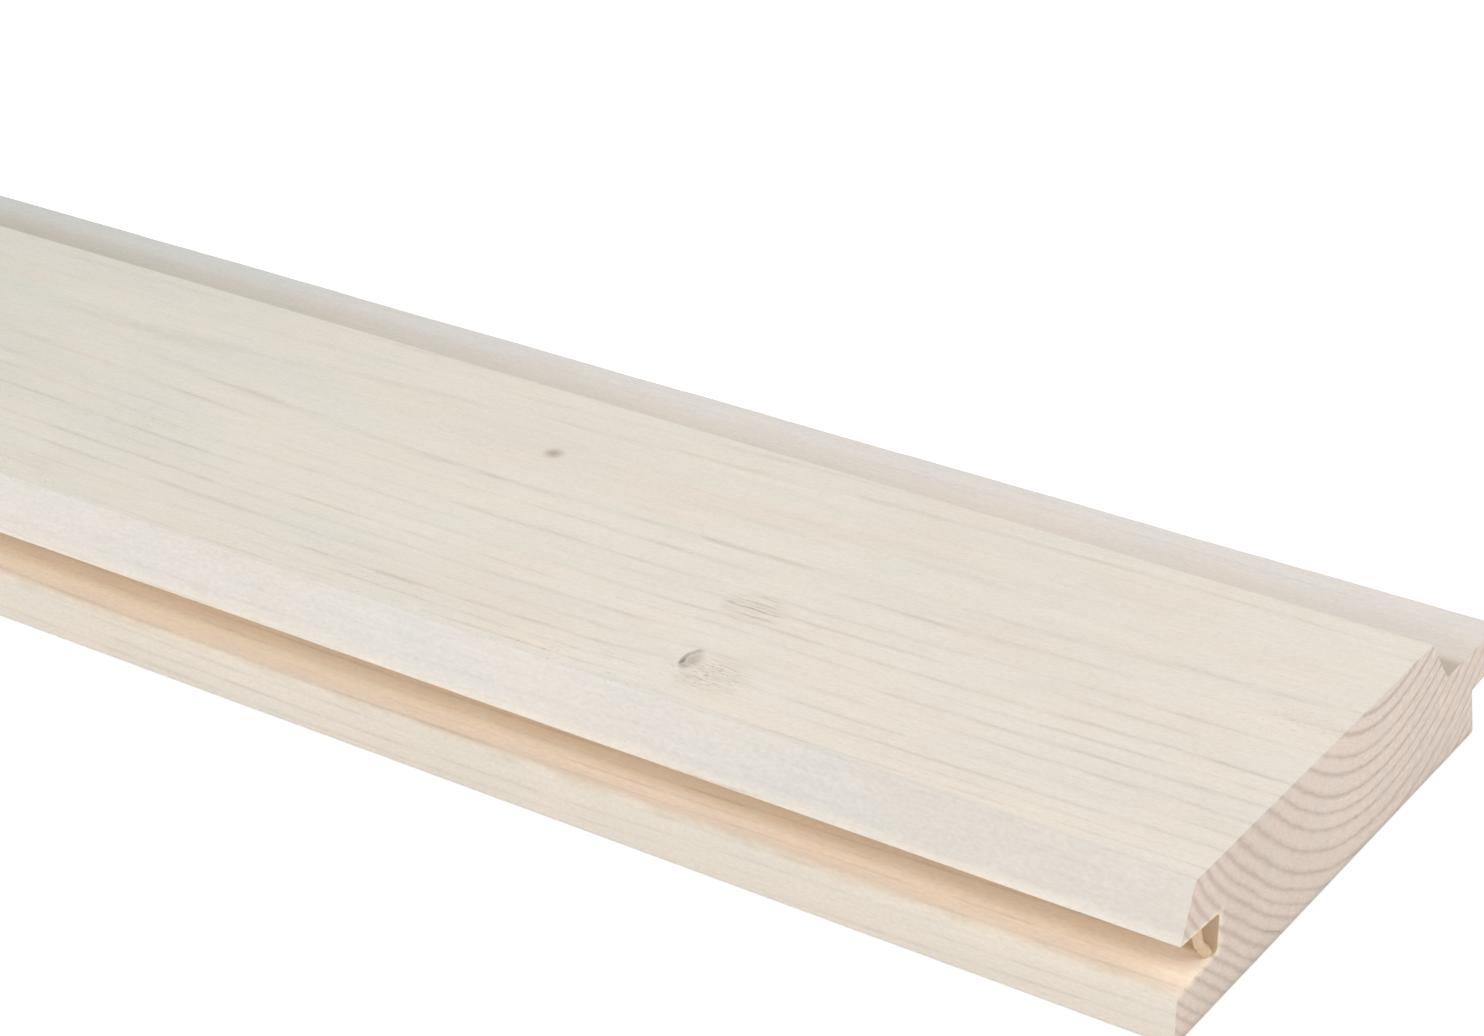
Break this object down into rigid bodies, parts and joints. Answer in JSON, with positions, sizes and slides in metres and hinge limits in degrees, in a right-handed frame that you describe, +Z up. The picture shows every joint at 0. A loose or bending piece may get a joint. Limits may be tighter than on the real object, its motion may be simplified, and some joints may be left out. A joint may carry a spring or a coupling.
{
  "type": "tongue and groove board",
  "caption": "Planed softwood board with a groove along one edge, a tongue along the other and bevelled face edges, laid side by side to line walls, ceilings and cabins.",
  "frame": {"origin": "middle of the board's length and overall width, on the back face that it lies on", "axes": "+X along the board, +Y across it from the groove edge to the tongue, +Z up from the back face to the bevelled face"},
  "size_m": [1.8, 0.121, 0.028],
  "materials": {
    "spruce": "planed and unfinished, matt"
  },
  "bodies": {
    "root": {"board": "spruce"}
  },
  "joints": []
}
